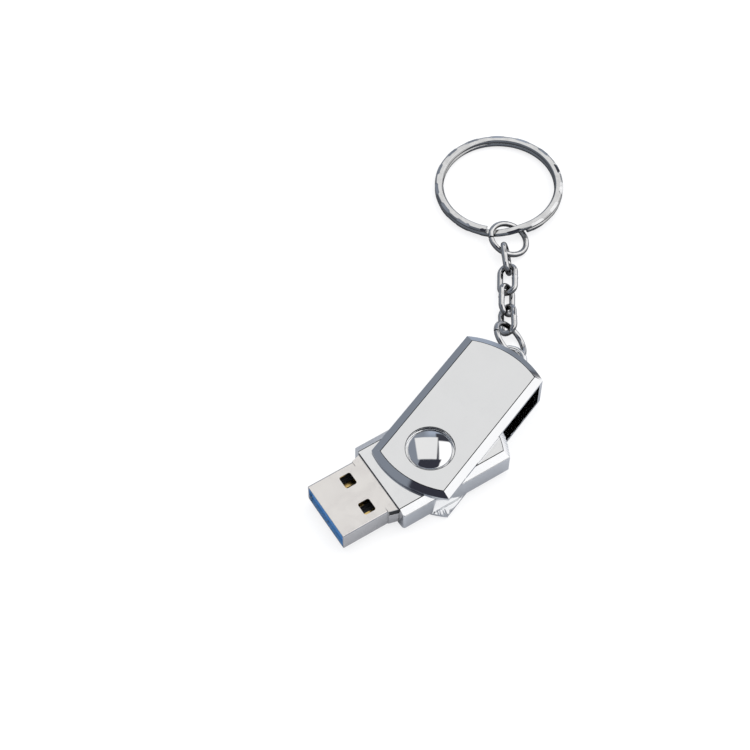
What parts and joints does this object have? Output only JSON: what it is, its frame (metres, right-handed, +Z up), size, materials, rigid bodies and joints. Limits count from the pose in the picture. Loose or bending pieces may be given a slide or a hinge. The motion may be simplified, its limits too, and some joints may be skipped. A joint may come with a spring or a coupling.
{
  "type": "usb flash drive",
  "caption": "Swivel-cover USB flash drive with a steel plug, a rotating metal cover and a key chain with a split ring.",
  "frame": {"origin": "the swivel axis at the flat underside of the cover", "axes": "+X along the cover from the swivel to the eyelet, +Z up through the swivel, away from the surface the drive lies on"},
  "size_m": [0.0963, 0.0504, 0.0082],
  "materials": {
    "cover_metal": "mirror nickel plating",
    "drive_metal": "mirror nickel plating",
    "dome_chrome": "polished chrome",
    "plug_steel": "bright pressed steel",
    "black_plastic": "matt",
    "blue_plastic": "satin",
    "contact_gold": "gold flash",
    "board": "solder mask",
    "chip_black": "moulded epoxy",
    "ceramic": "fired ceramic",
    "can_steel": "satin can",
    "chain_steel": "polished",
    "ring_steel": "polished"
  },
  "bodies": {
    "cover": {"swivel_cover": "cover_metal"},
    "drive": {"body_lower_shell": "drive_metal", "body_upper_shell": "drive_metal", "pivot_dome": "dome_chrome", "pivot_stud": "dome_chrome", "usb_shell": "plug_steel", "plug_collar": "black_plastic", "usb_insulator": "blue_plastic", "board_carrier": "black_plastic", "circuit_board": "board", "memory_chip": "chip_black", "controller_chip": "chip_black", "crystal": "can_steel", "contact_1": "contact_gold", "contact_2": "contact_gold", "contact_3": "contact_gold", "contact_4": "contact_gold", "fast_contact_1": "contact_gold", "fast_contact_2": "contact_gold", "fast_contact_3": "contact_gold", "fast_contact_4": "contact_gold", "fast_contact_5": "contact_gold", "capacitor_1": "ceramic", "capacitor_2": "ceramic", "capacitor_3": "ceramic", "capacitor_4": "ceramic"},
    "lower_jump_ring": {"lower_jump_ring": "chain_steel"},
    "chain_link_1": {"chain_link_1": "chain_steel"},
    "chain_link_2": {"chain_link_2": "chain_steel"},
    "chain_link_3": {"chain_link_3": "chain_steel"},
    "chain_link_4": {"chain_link_4": "chain_steel"},
    "upper_jump_ring": {"upper_jump_ring": "chain_steel"},
    "split_ring": {"split_ring": "ring_steel"}
  },
  "joints": [
    {"name": "drive_swivel", "type": "hinge", "parent": "cover", "child": "drive", "pos_m": [0, 0, 0.004], "axis": [0, 0, 1], "continuous": true},
    {"name": "lower_ring_swing", "type": "hinge", "parent": "cover", "child": "lower_jump_ring", "pos_m": [0.02885, 0, 0.004], "axis": [0, 1, 0], "range_deg": [0, 50]},
    {"name": "link_1_swing", "type": "hinge", "parent": "lower_jump_ring", "child": "chain_link_1", "pos_m": [0.0334, 0.00461, 0.0022], "axis": [-0.2378, 0.7192, 0.6528], "range_deg": [-60, 60]},
    {"name": "link_2_swing", "type": "hinge", "parent": "chain_link_1", "child": "chain_link_2", "pos_m": [0.03714, 0.00777, 0.00183], "axis": [0.4879, -0.5634, 0.6668], "range_deg": [-60, 60]},
    {"name": "link_3_swing", "type": "hinge", "parent": "chain_link_2", "child": "chain_link_3", "pos_m": [0.04119, 0.01045, 0.0018], "axis": [-0.3851, 0.593, 0.7071], "range_deg": [-25, 30]},
    {"name": "link_4_swing", "type": "hinge", "parent": "chain_link_3", "child": "chain_link_4", "pos_m": [0.04529, 0.01301, 0.0018], "axis": [0.4936, -0.7601, 0.4226], "range_deg": [-60, 60]},
    {"name": "upper_ring_swing", "type": "hinge", "parent": "chain_link_4", "child": "upper_jump_ring", "pos_m": [0.04784, 0.01461, 0.00058], "axis": [0.7683, 0.6401, 0], "range_deg": [-55, 0]},
    {"name": "split_ring_swing", "type": "hinge", "parent": "upper_jump_ring", "child": "split_ring", "pos_m": [0.04947, 0.01733, 0.00342], "axis": [-0.9795, -0.1127, -0.1667], "range_deg": [0, 60]}
  ]
}
